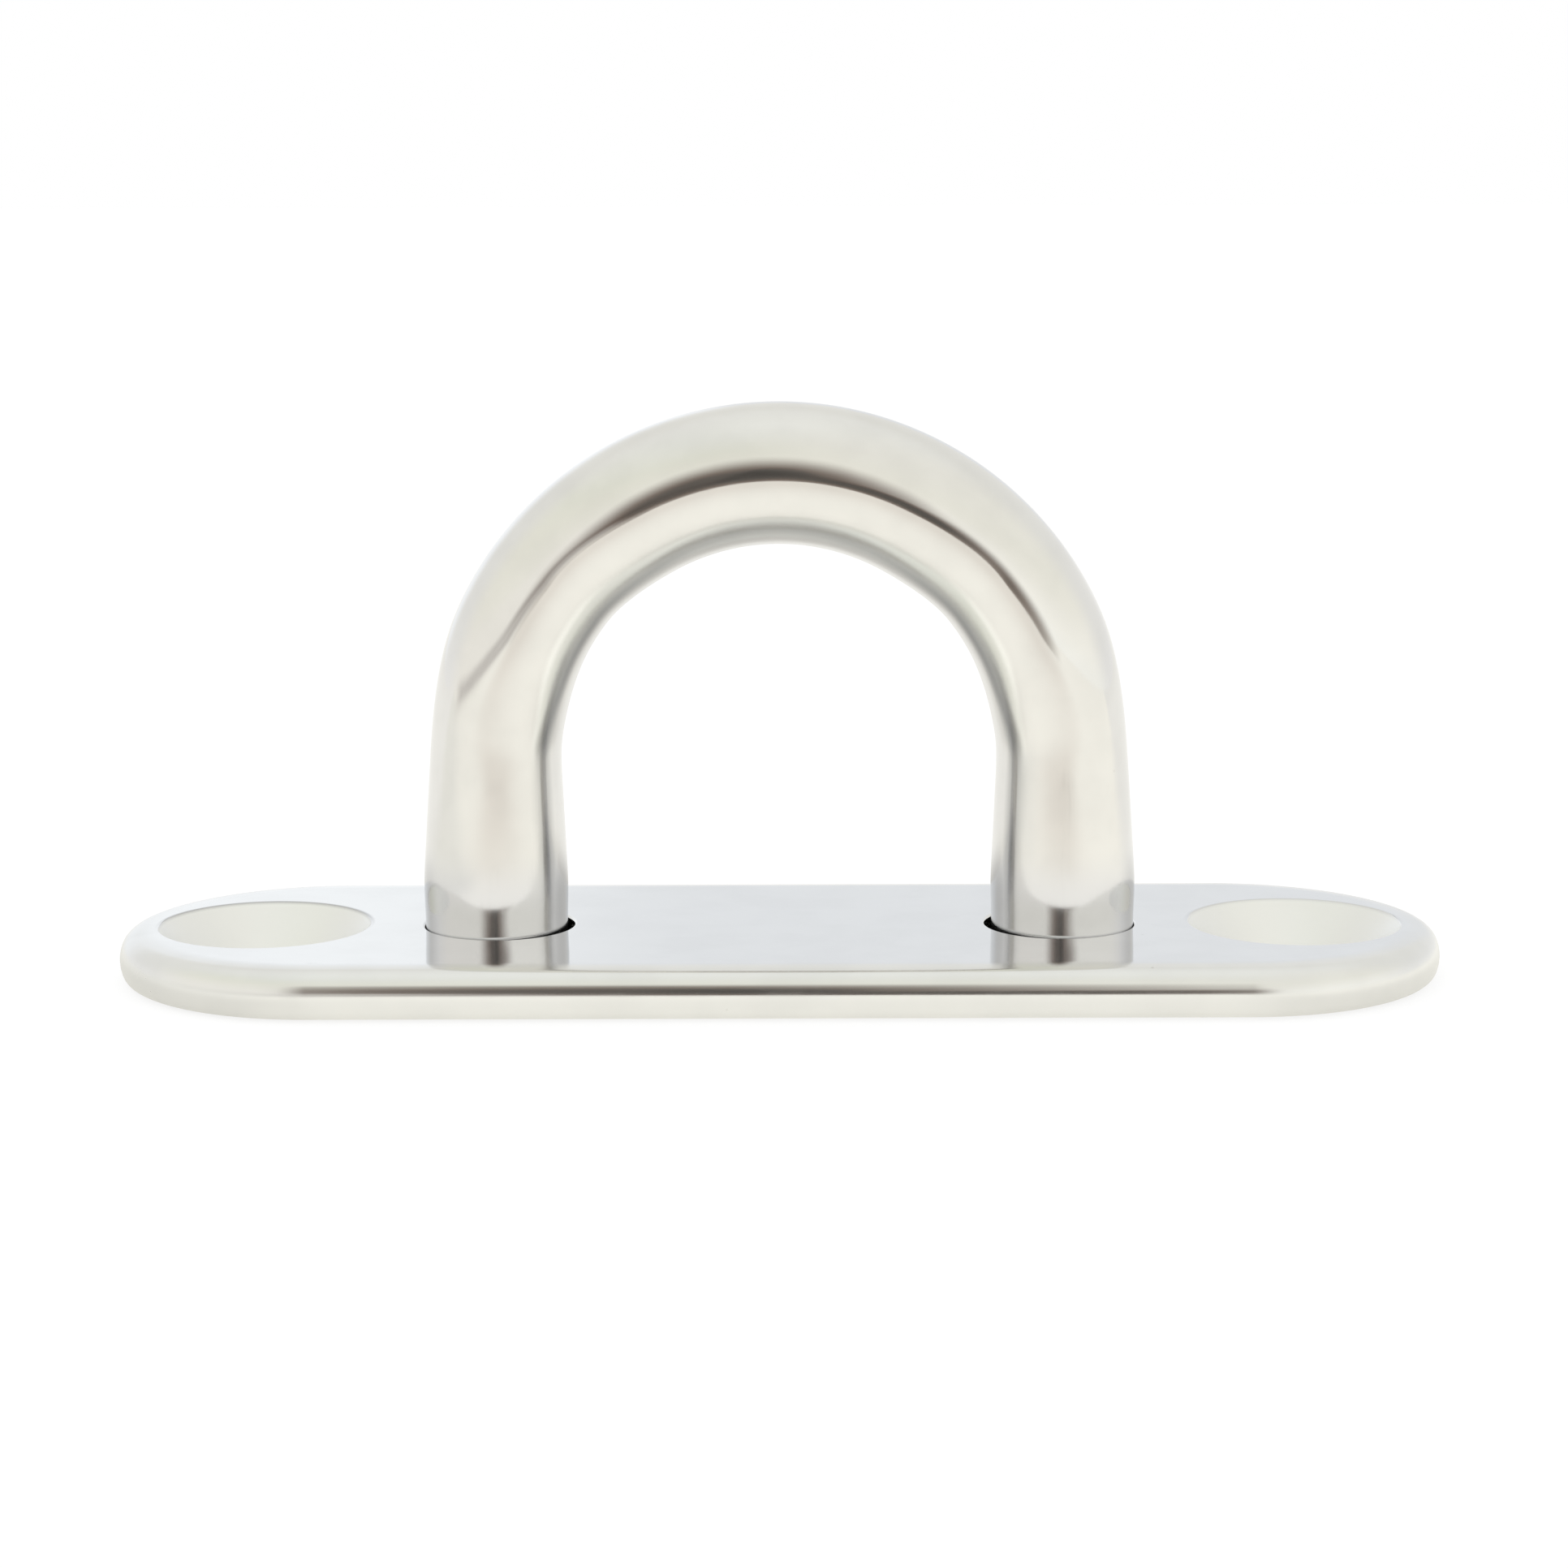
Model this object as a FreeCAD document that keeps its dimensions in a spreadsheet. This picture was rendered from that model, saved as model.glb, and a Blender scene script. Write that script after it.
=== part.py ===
import FreeCAD, Part
import os
import Sketcher

# Eye plate: an oblong base plate with two countersunk screw holes, a bow of bent round bar whose
# feet stand through two punched holes, and the two welds that hold the feet from beneath.
# Lengths are millimetres. The origin is the middle of the plate's underside, +X runs along the
# plate and +Z points up through the bow.

DRIVING_SIZES = [
    ("plate_length", 58.8, "base plate, tip to tip"),
    ("plate_width", 18.7, "base plate, across the straight sides"),
    ("plate_thickness", 2.25, "base plate, underside to top"),
    ("edge_land", 0.1, "flat band left half way up the rounded rim"),
    ("screw_inset", 6.4, "plate tip to the centre of a screw hole"),
    ("screw_hole", 5.5, "through hole for a 5 mm screw"),
    ("sink_rim", 9.5, "countersink diameter at the plate's top"),
    ("sink_angle", 90.0, "full angle of the countersink, in degrees"),
    ("bar_diameter", 6.0, "bow, bar across a leg"),
    ("foot_swell", 0.2, "bow, radius gained from the legs to the feet"),
    ("foot_height", 2.2, "bow, straight foot above the plate's top"),
    ("flare_height", 3.9, "bow, blend from the foot up to the bar"),
    ("leg_height", 7.7, "bow, plate's top to the start of the bend"),
    ("eye_width", 19.1, "bow, clear width between the legs"),
    ("leg_gap_inner", 0.35, "leg hole, gap on the side of the eye"),
    ("leg_gap_outer", 0.05, "leg hole, gap on the side of the screw"),
    ("weld_bevel", 0.9, "leg hole, width and depth of the bevel for the weld"),
]

DERIVED_SIZES = [
    ("plate_end_radius", "=plate_width / 2"),
    ("plate_end_x", "=(plate_length - plate_width) / 2"),
    ("rim_radius", "=(plate_thickness - edge_land) / 2"),
    ("screw_x", "=plate_length / 2 - screw_inset"),
    ("screw_radius", "=screw_hole / 2"),
    ("sink_radius", "=sink_rim / 2"),
    ("bar_radius", "=bar_diameter / 2"),
    ("foot_radius", "=bar_radius + foot_swell"),
    ("leg_x", "=eye_width / 2 + bar_radius"),
    ("leg_side_x", "=leg_x + bar_radius"),
    ("flare_middle_x", "=leg_side_x + foot_swell / 2"),
    ("foot_side_x", "=leg_side_x + foot_swell"),
    ("foot_top_z", "=plate_thickness + foot_height"),
    ("flare_middle_z", "=foot_top_z + flare_height / 2"),
    ("flare_top_z", "=foot_top_z + flare_height"),
    ("flare_arc", "=(flare_height ^ 2 + foot_swell ^ 2) / (4 * foot_swell)"),
    ("spring_z", "=plate_thickness + leg_height"),
    ("leg_hole_x", "=leg_x - (leg_gap_inner - leg_gap_outer) / 2"),
    ("leg_hole_radius", "=foot_radius + (leg_gap_inner + leg_gap_outer) / 2"),
    ("weld_radius", "=leg_hole_radius + weld_bevel"),
]

SIDES = {"left": -1, "right": 1}
TOUCH = 1e-4


# The sheet of sizes

def make_sheet(doc):
    """The spreadsheet: one row for each size, with its note, its value and its name."""
    sheet = doc.addObject("Spreadsheet::Sheet", "Sizes")
    rows = [(note, str(value), alias) for alias, value, note in DRIVING_SIZES]
    rows += [("worked out from the rows above", content, alias) for alias, content in DERIVED_SIZES]
    for number, (note, content, alias) in enumerate(rows, start=1):
        sheet.set(f"A{number}", note)
        sheet.set(f"B{number}", content)
        sheet.setAlias(f"B{number}", alias)
    doc.recompute()
    return sheet


def amount(sheet, name):
    """The present value of a named size; a leading minus mirrors it and None is zero."""
    if name is None:
        return 0.0
    return -sheet.get(name[1:]) if name.startswith("-") else sheet.get(name)


def formula(name):
    """The expression that reads a named size; a leading minus mirrors it."""
    return f"-Sizes.{name[1:]}" if name.startswith("-") else f"Sizes.{name}"


# Bodies and sketches

def make_body(doc, name):
    """An empty body whose label names the piece."""
    body = doc.addObject("PartDesign::Body", name)
    body.Label = name
    return body


def origin_plane(body, role):
    """One plane of the body's own origin."""
    return next(item for item in body.Origin.OriginFeatures if item.Role == role)


def make_sketch(body, name, role, lift=None):
    """A sketch on one of the body's origin planes, moved along its normal by a named size."""
    sketch = body.newObject("Sketcher::SketchObject", name)
    sketch.AttachmentSupport = [(origin_plane(body, role), "")]
    sketch.MapMode = "FlatFace"
    if lift:
        sketch.setExpression("AttachmentOffset.Base.z", formula(lift))
    return sketch


def spot(sheet, place):
    """The sketch point that a pair of named sizes gives."""
    return FreeCAD.Vector(amount(sheet, place[0]), amount(sheet, place[1]), 0)


def drive(sketch, kind, geometry, value, name):
    """Adds a dimension to the sketch and binds it to a named size."""
    index = sketch.addConstraint(Sketcher.Constraint(kind, *geometry, value))
    sketch.setExpression(f"Constraints[{index}]", formula(name))


def pin_point(sketch, sheet, geometry, point, place):
    """Holds a point at a pair of named sizes, or on the sketch's axis where a name is None."""
    for kind, axis, name in (("DistanceX", -2, place[0]), ("DistanceY", -1, place[1])):
        if name is None:
            sketch.addConstraint(Sketcher.Constraint("PointOnObject", geometry, point, axis))
        else:
            drive(sketch, kind, (-1, 1, geometry, point), amount(sheet, name), name)


def draw_circle(sketch, sheet, centre, radius):
    """A circle whose centre and radius are named sizes."""
    circle = Part.Circle(spot(sheet, centre), FreeCAD.Vector(0, 0, 1), amount(sheet, radius))
    index = sketch.addGeometry(circle)
    pin_point(sketch, sheet, index, 3, centre)
    drive(sketch, "Radius", (index,), circle.Radius, radius)


def draw_slot(sketch, sheet, end_x, end_radius):
    """Two half circles about points on the X axis, joined by tangent lines."""
    reach, radius = amount(sheet, end_x), amount(sheet, end_radius)
    for name, tip in ((end_x, reach + radius), (f"-{end_x}", -reach - radius)):
        lean = 1 if tip > 0 else -1
        low = FreeCAD.Vector(lean * reach, -lean * radius, 0)
        high = FreeCAD.Vector(lean * reach, lean * radius, 0)
        index = sketch.addGeometry(Part.Arc(low, FreeCAD.Vector(tip, 0, 0), high))
        pin_point(sketch, sheet, index, 3, (name, None))
        drive(sketch, "Radius", (index,), radius, end_radius)
    for start_arc, end_arc in ((0, 1), (1, 0)):
        line = Part.LineSegment(sketch.getPoint(start_arc, 2), sketch.getPoint(end_arc, 1))
        index = sketch.addGeometry(line)
        sketch.addConstraint(Sketcher.Constraint("Tangent", start_arc, 2, index, 1))
        sketch.addConstraint(Sketcher.Constraint("Tangent", index, 2, end_arc, 1))


def draw_outline(sketch, sheet, corners, bends):
    """A closed outline through named corners. A bend names the radius of the arc after its corner."""
    points = [spot(sheet, corner) for corner in corners]
    for index, start in enumerate(points):
        end = points[(index + 1) % len(points)]
        if index in bends:
            radius, turn = bends[index]
            sketch.addGeometry(arc_between(start, end, amount(sheet, radius), turn))
            drive(sketch, "Radius", (index,), amount(sheet, radius), radius)
        else:
            sketch.addGeometry(Part.LineSegment(start, end))
    first = [nearest_end(sketch, index, point) for index, point in enumerate(points)]
    for index, corner in enumerate(corners):
        before = (index - 1) % len(corners)
        joint = (before, 3 - first[before], index, first[index])
        sketch.addConstraint(Sketcher.Constraint("Coincident", *joint))
        pin_point(sketch, sheet, index, first[index], corner)


def arc_between(start, end, radius, turn):
    """The short arc from start to end; turn is 1 where it bends left and -1 where it bends right."""
    chord = end - start
    side = FreeCAD.Vector(-chord.y, chord.x, 0).normalize() * turn
    rise = radius - (radius ** 2 - chord.Length ** 2 / 4) ** 0.5
    return Part.Arc(start, (start + end) * 0.5 - side * rise, end)


def nearest_end(sketch, index, point):
    """Which end of a line or arc, 1 or 2, lies at the point."""
    gaps = {end: sketch.getPoint(index, end).distanceToPoint(point) for end in (1, 2)}
    return min(gaps, key=gaps.get)


def level_edges(shape, heights, radius=None):
    """The names of the edges that lie level at one of the heights, and have the radius if given."""
    names = []
    for number, edge in enumerate(shape.Edges, start=1):
        low, high = edge.BoundBox.ZMin, edge.BoundBox.ZMax
        level = any(abs(low - z) < TOUCH and abs(high - z) < TOUCH for z in heights)
        if radius is not None:
            level = level and isinstance(edge.Curve, Part.Circle)
            level = level and abs(edge.Curve.Radius - radius) < TOUCH
        if level:
            names.append(f"Edge{number}")
    return names


# The pieces

def make_base_plate(doc, sheet):
    """The stamped plate: rounded rim, two countersunk screw holes and two bevelled leg holes."""
    body = make_body(doc, "base_plate")
    top = amount(sheet, "plate_thickness")

    outline = make_sketch(body, "PlateOutline", "XY_Plane")
    draw_slot(outline, sheet, "plate_end_x", "plate_end_radius")
    pad = body.newObject("PartDesign::Pad", "PlatePad")
    pad.Profile = outline
    pad.setExpression("Length", formula("plate_thickness"))
    doc.recompute()

    rim = body.newObject("PartDesign::Fillet", "PlateRim")
    rim.Base = (pad, level_edges(pad.Shape, (0.0, top)))
    rim.setExpression("Radius", formula("rim_radius"))
    doc.recompute()

    screws = make_sketch(body, "ScrewCentres", "XY_Plane", "plate_thickness")
    for screw_x in ("-screw_x", "screw_x"):
        draw_circle(screws, sheet, (screw_x, None), "screw_radius")
    doc.recompute()
    holes = body.newObject("PartDesign::Hole", "ScrewHoles")
    holes.Profile = screws
    holes.DepthType = "ThroughAll"
    holes.HoleCutType = "Countersink"
    holes.HoleCutCustomValues = True
    holes.setExpression("Diameter", formula("screw_hole"))
    holes.setExpression("HoleCutDiameter", formula("sink_rim"))
    holes.setExpression("HoleCutCountersinkAngle", formula("sink_angle"))
    doc.recompute()

    legs = make_sketch(body, "LegHoleOutlines", "XY_Plane", "plate_thickness")
    for hole_x in ("-leg_hole_x", "leg_hole_x"):
        draw_circle(legs, sheet, (hole_x, None), "leg_hole_radius")
    punched = body.newObject("PartDesign::Pocket", "LegHoles")
    punched.Profile = legs
    punched.Type = "ThroughAll"
    doc.recompute()

    leg_hole = amount(sheet, "leg_hole_radius")
    bevels = body.newObject("PartDesign::Chamfer", "WeldBevels")
    bevels.Base = (punched, level_edges(punched.Shape, (0.0,), leg_hole))
    bevels.setExpression("Size", formula("weld_bevel"))
    doc.recompute()
    return body


def make_bow(doc, sheet):
    """The bow: a leg with its flared foot, the same leg mirrored, and the bend between them."""
    body = make_body(doc, "bow")

    profile = make_sketch(body, "LegProfile", "XZ_Plane")
    corners = [
        ("leg_x", None),
        ("foot_side_x", None),
        ("foot_side_x", "foot_top_z"),
        ("flare_middle_x", "flare_middle_z"),
        ("leg_side_x", "flare_top_z"),
        ("leg_side_x", "spring_z"),
        ("leg_x", "spring_z"),
    ]
    bends = {2: ("flare_arc", 1), 3: ("flare_arc", -1)}
    draw_outline(profile, sheet, corners, bends)
    leg = body.newObject("PartDesign::Revolution", "Leg")
    leg.Profile = profile
    leg.ReferenceAxis = (profile, [f"Edge{len(corners)}"])
    leg.Angle = 360
    doc.recompute()

    other_leg = body.newObject("PartDesign::Mirrored", "OtherLeg")
    other_leg.Originals = [leg]
    other_leg.MirrorPlane = (origin_plane(body, "YZ_Plane"), [""])
    body.Tip = other_leg
    doc.recompute()

    section = make_sketch(body, "BarSection", "XY_Plane", "spring_z")
    draw_circle(section, sheet, ("leg_x", None), "bar_radius")
    bend = body.newObject("PartDesign::Revolution", "Bend")
    bend.Profile = section
    bend.ReferenceAxis = (section, ["V_Axis"])
    bend.Angle = 180
    bend.Reversed = True
    doc.recompute()
    return body


def make_weld(doc, sheet, side, lean):
    """One weld: it fills the bevel round a foot and is ground flush with the plate's underside."""
    sign = "-" if lean < 0 else ""
    fill = doc.addObject("Part::Cone", f"weld_fill_{side}")
    fill.setExpression("Placement.Base.x", formula(f"{sign}leg_hole_x"))
    fill.setExpression("Radius1", formula("weld_radius"))
    fill.setExpression("Radius2", formula("leg_hole_radius"))
    fill.setExpression("Height", formula("weld_bevel"))

    foot = doc.addObject("Part::Cylinder", f"weld_foot_{side}")
    foot.setExpression("Placement.Base.x", formula(f"{sign}leg_x"))
    foot.setExpression("Radius", formula("foot_radius"))
    foot.setExpression("Height", formula("weld_bevel"))

    weld = doc.addObject("Part::Cut", f"weld_{side}")
    weld.Base = fill
    weld.Tool = foot
    weld.Label = f"weld_{side}"
    doc.recompute()
    return weld


# Checks and files

def check_model(doc, pieces):
    """Stops where an object failed, or a piece is not one sound solid."""
    for item in doc.Objects:
        if any(word in ("Invalid", "Error") for word in item.State):
            raise RuntimeError(f"{item.Name} failed: {item.State}")
    for piece in pieces:
        shape = piece.Shape
        if shape.isNull() or not shape.isValid() or len(shape.Solids) != 1:
            raise RuntimeError(f"{piece.Label} is not one valid solid")


def main():
    doc = FreeCAD.newDocument("EyePlate")
    sheet = make_sheet(doc)
    pieces = [make_base_plate(doc, sheet), make_bow(doc, sheet)]
    pieces += [make_weld(doc, sheet, side, lean) for side, lean in SIDES.items()]
    check_model(doc, pieces)

    os.makedirs("parts", exist_ok=True)
    for piece in pieces:
        piece.Shape.exportStep(f"parts/{piece.Label}.step")
        print(f"{piece.Label}: {piece.Shape.Volume:.2f} mm3")


main()
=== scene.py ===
"""Looks for an eye plate: a polished oblong plate, a bow of bent round bar and two ground welds.

Lengths are metres. The origin is the middle of the plate's underside, +X runs along the plate, -Y faces the
camera and +Z points up through the bow. The plate is built from rounded profiles, the bow is a bar swept by
Geometry Nodes, and the welds are the frame's own solids with a ground finish.
"""

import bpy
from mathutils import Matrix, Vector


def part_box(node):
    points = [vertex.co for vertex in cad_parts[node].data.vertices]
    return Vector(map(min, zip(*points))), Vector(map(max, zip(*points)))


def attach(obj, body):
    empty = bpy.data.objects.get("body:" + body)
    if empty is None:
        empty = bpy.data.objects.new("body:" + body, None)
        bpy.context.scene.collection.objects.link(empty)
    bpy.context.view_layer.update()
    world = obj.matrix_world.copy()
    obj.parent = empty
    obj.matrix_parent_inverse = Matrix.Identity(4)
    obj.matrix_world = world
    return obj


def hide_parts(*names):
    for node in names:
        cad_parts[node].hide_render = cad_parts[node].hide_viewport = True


bl_info = {
    "name": "Eye Plate",
    "version": (1, 0, 0),
    "blender": (4, 5, 0),
    "location": "View3D > Sidebar > Eye Plate",
    "description": "Builds a polished eye plate and the white tent that it stands in",
    "category": "Add Mesh",
}

import math

import bpy
from bpy.props import FloatProperty, FloatVectorProperty, IntProperty, PointerProperty
from mathutils import Matrix, Vector
from mathutils.geometry import tessellate_polygon

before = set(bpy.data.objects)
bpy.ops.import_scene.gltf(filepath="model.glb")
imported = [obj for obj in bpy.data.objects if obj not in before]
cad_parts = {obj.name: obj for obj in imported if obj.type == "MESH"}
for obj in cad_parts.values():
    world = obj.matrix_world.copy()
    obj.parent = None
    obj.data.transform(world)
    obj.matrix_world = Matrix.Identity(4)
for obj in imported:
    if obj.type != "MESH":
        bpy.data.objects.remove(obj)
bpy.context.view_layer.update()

MM = 0.001
PLATE_LOW, PLATE_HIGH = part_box("base_plate")
WELDS = ("weld_left", "weld_right")
SIDES = (-1, 1)
IN_MM = (1000.0, 1000.0, 1000.0)
FLECK_DEPTH = 0.0012 * MM
GRIND_DEPTH = 0.006 * MM


# Sizes and finishes that a user may change


def length(name, note, default, low=0.0, high=1.0):
    """A length property in metres, shown in millimetres where the scene is set so."""
    return FloatProperty(
        name=name, description=note, default=default, min=low, max=high, precision=5, unit="LENGTH"
    )


def tint(name, note, default):
    """A colour property with three linear parts."""
    return FloatVectorProperty(
        name=name, description=note, default=default, size=3, subtype="COLOR", min=0.0, max=2.0
    )


def share(name, note, default):
    """A plain number from 0 to 1."""
    return FloatProperty(name=name, description=note, default=default, min=0.0, max=1.0, subtype="FACTOR")


class PlateSizes(bpy.types.PropertyGroup):
    """The stamped plate, its rim and its four holes."""

    long_side: length("Length", "Tip to tip", PLATE_HIGH.x - PLATE_LOW.x)
    short_side: length("Width", "Across the straight sides", PLATE_HIGH.y - PLATE_LOW.y)
    thickness: length("Thickness", "Underside to top", PLATE_HIGH.z - PLATE_LOW.z)
    edge_ease: length("Edge easing", "Radius of the long easing beside the edge", 6.0 * MM)
    edge_middle: length("Edge middle", "Radius of the nearly upright middle of the edge", 1.7 * MM)
    edge_line: length("Edge line", "Height at which the edge reaches furthest out", 1.0 * MM)
    screw_inset: length("Screw inset", "Plate tip to the centre of a screw hole", 6.4 * MM)
    screw_hole: length("Screw hole", "Diameter of the through hole", 5.5 * MM)
    sink_rim: length("Countersink", "Diameter at the plate's top", 9.5 * MM)
    leg_hole: length("Leg hole", "Diameter of the punched hole for a foot", 6.8 * MM)
    leg_hole_x: length("Leg hole place", "Distance of a leg hole from the middle", 12.4 * MM)
    leg_hole_lean: length("Leg hole lean", "How far the top of a leg hole is drawn outwards", 0.09 * MM)
    leg_hole_draw: length("Leg hole draw", "Radius that a leg hole loses from bevel to top", 0.07 * MM)
    weld_bevel: length("Weld bevel", "Width and depth of the bevel under a leg hole", 0.9 * MM)
    mouth_radius: length("Mouth radius", "Rounding polished on to the mouths of the holes", 0.12 * MM)


class BowSizes(bpy.types.PropertyGroup):
    """The bent bar and its flared feet."""

    bar: length("Bar", "Diameter of the bar across a leg", 6.0 * MM)
    leg_x: length("Leg place", "Distance of a leg's middle from the plate's middle", 12.55 * MM)
    spring: length("Spring height", "Underside to the start of the bend", 9.95 * MM)
    foot_swell: length("Foot swell", "Radius gained from the legs to the feet", 0.21 * MM)
    foot_top: length("Foot top", "Height where the foot narrows", 4.3 * MM)
    flare_top: length("Flare top", "Height where the leg has its waist", 10.1 * MM)
    foot_lean: length("Foot lean", "How far the feet stand out from the legs' middle", 0.08 * MM)
    foot_tuck: length("Foot tuck", "Radius lost again right above the plate", 0.045 * MM)
    foot_flush: length("Foot flush", "Radius lost in the plate, where the weld grips the foot", 0.01 * MM)
    waist: length("Waist", "Radius that the wheel took off where the legs meet the bend", 0.115 * MM)
    waist_lean: length("Waist lean", "How far the waist lies towards the eye", 0.075 * MM)
    crown: length("Crown", "Radius gained under the crown, where the bend thickens the bar", 0.11 * MM)
    steps_along: IntProperty(name="Steps along", description="Rings of the sweep", default=220, min=20)
    steps_round: IntProperty(name="Steps round", description="Points round the bar", default=96, min=12)


class MetalFinish(bpy.types.PropertyGroup):
    """Colours and polish of the three finishes."""

    plate_colour: tint("Plate colour", "Polished plate", (0.80, 0.80, 0.79))
    bar_colour: tint("Bar colour", "Polished bar", (0.80, 0.79, 0.77))
    # Painted shade: the darker colour of the bow's feet.
    foot_shade_colour: tint("Foot colour", "Feet of the bow, which the wheel hardly reaches", (0.72, 0.72, 0.745))
    turned_colour: tint("Turned colour", "Countersinks, left as the cutter turned them", (0.86, 0.86, 0.84))
    # Painted dark reflection: the dark streak on each inner flank of the bow.
    painted_streak_colour: tint("Missed colour", "Streak inside the bow that the wheel missed", (0.42, 0.42, 0.42))
    # Painted highlight: the lighter band beside that streak.
    painted_highlight_colour: tint("Bright colour", "Band beside the streak, polished most", (0.95, 0.95, 0.93))
    weld_colour: tint("Weld colour", "Ground weld", (0.62, 0.61, 0.58))
    # A darker colour along the far half of each countersink's rim.
    far_rim_dark_colour: tint("Burr colour", "Dark far rim of a countersink", (0.30, 0.30, 0.31))
    plate_fleck: tint("Plate fleck", "Tiny pits in the plate", (0.36, 0.32, 0.28))
    bar_fleck: tint("Bar fleck", "Tiny pits in the bar", (0.36, 0.30, 0.26))
    pore_colour: tint("Pore colour", "Open pores in the welds", (0.20, 0.18, 0.16))
    polish: share("Polish", "Roughness of the polished steel", 0.07)
    ground: share("Ground", "Roughness of the ground underside and welds", 0.34)
    ripple: length("Ripple", "Height of the soft waves that polishing leaves", 0.0016 * MM)
    scratch: length("Scratch", "Depth of the fine polishing lines", 0.00022 * MM)


class StudioLook(bpy.types.PropertyGroup):
    """The camera, the white tent, the floor and the dark camera side that the steel mirrors."""

    aim: FloatVectorProperty(
        name="Aim", description="Point at the middle of the picture", size=3, unit="LENGTH",
        default=(0.224 * MM, 0.0, 8.552 * MM),
    )
    distance: length("Distance", "Aim to camera", 159.25 * MM)
    elevation: FloatProperty(
        name="Elevation", description="Camera above the horizon", unit="ROTATION",
        default=math.radians(10.436),
    )
    turn: FloatProperty(
        name="Turn", description="Camera round to the right", default=math.radians(0.14), unit="ROTATION"
    )
    roll: FloatProperty(
        name="Roll", description="Camera about its axis", default=math.radians(-0.196), unit="ROTATION"
    )
    lens: FloatProperty(
        name="Lens", description="Focal length on a 36 mm sensor", default=82.34, unit="CAMERA"
    )
    card_width: length("Card width", "Dark camera side, across, to where it is half as dark", 91.0 * MM)
    card_height: length("Card height", "Dark camera side, up, to where it is half as dark", 106.0 * MM)
    horizon: tint("Horizon", "Far end of the floor on the left, as the steel mirrors it", (0.66, 0.635, 0.60))
    low_patch: tint("Low patch", "Tent low behind the plate, as mirrored", (0.862, 0.885, 0.915))
    left_glow: tint("Left glow", "Tent behind on the left, as mirrored", (1.04, 1.07, 1.10))
    dark: tint("Dark", "Camera side as the steel mirrors it", (0.085, 0.078, 0.070))
    brown: tint("Brown", "Soft edge of the camera side", (0.080, 0.035, 0.015))
    front_floor: tint("Front floor", "Floor before the plate, as the steel mirrors it", (1.05, 1.035, 0.965))
    near_floor: tint("Near floor", "Floor beside the plate, as the steel mirrors it", (1.10, 1.085, 1.01))
    shaded_floor: tint("Shaded floor", "Floor that the camera shades", (0.93, 0.89, 0.82))
    left_floor: tint("Left floor", "Floor on the left, as the steel mirrors it", (0.95, 0.945, 0.89))
    back_floor: tint("Back floor", "Floor behind the plate, as the steel mirrors it", (1.0, 0.995, 0.96))
    close_floor: tint("Close floor", "Floor in the plate's shade, as mirrored", (0.66, 0.65, 0.62))


class EyePlate(bpy.types.PropertyGroup):
    """All settings of the eye plate, kept on the scene."""

    plate: PointerProperty(type=PlateSizes)
    bow: PointerProperty(type=BowSizes)
    finish: PointerProperty(type=MetalFinish)
    studio: PointerProperty(type=StudioLook)


# Node trees


class Wire:
    """One output of a node. Sums, products and the like on it add Math nodes to its tree."""

    def __init__(self, bench, socket):
        self.bench = bench
        self.socket = socket

    def maths(self, operation, *others):
        return self.bench.add("ShaderNodeMath", {"operation": operation}, [self, *others])

    def __add__(self, other):
        return self.maths("ADD", other)

    def __radd__(self, other):
        return self.maths("ADD", other)

    def __sub__(self, other):
        return self.maths("SUBTRACT", other)

    def __rsub__(self, other):
        return self.bench.add("ShaderNodeMath", {"operation": "SUBTRACT"}, [other, self])

    def __mul__(self, other):
        return self.maths("MULTIPLY", other)

    def __rmul__(self, other):
        return self.maths("MULTIPLY", other)

    def __truediv__(self, other):
        return self.maths("DIVIDE", other)

    def __abs__(self):
        return self.maths("ABSOLUTE")


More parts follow.
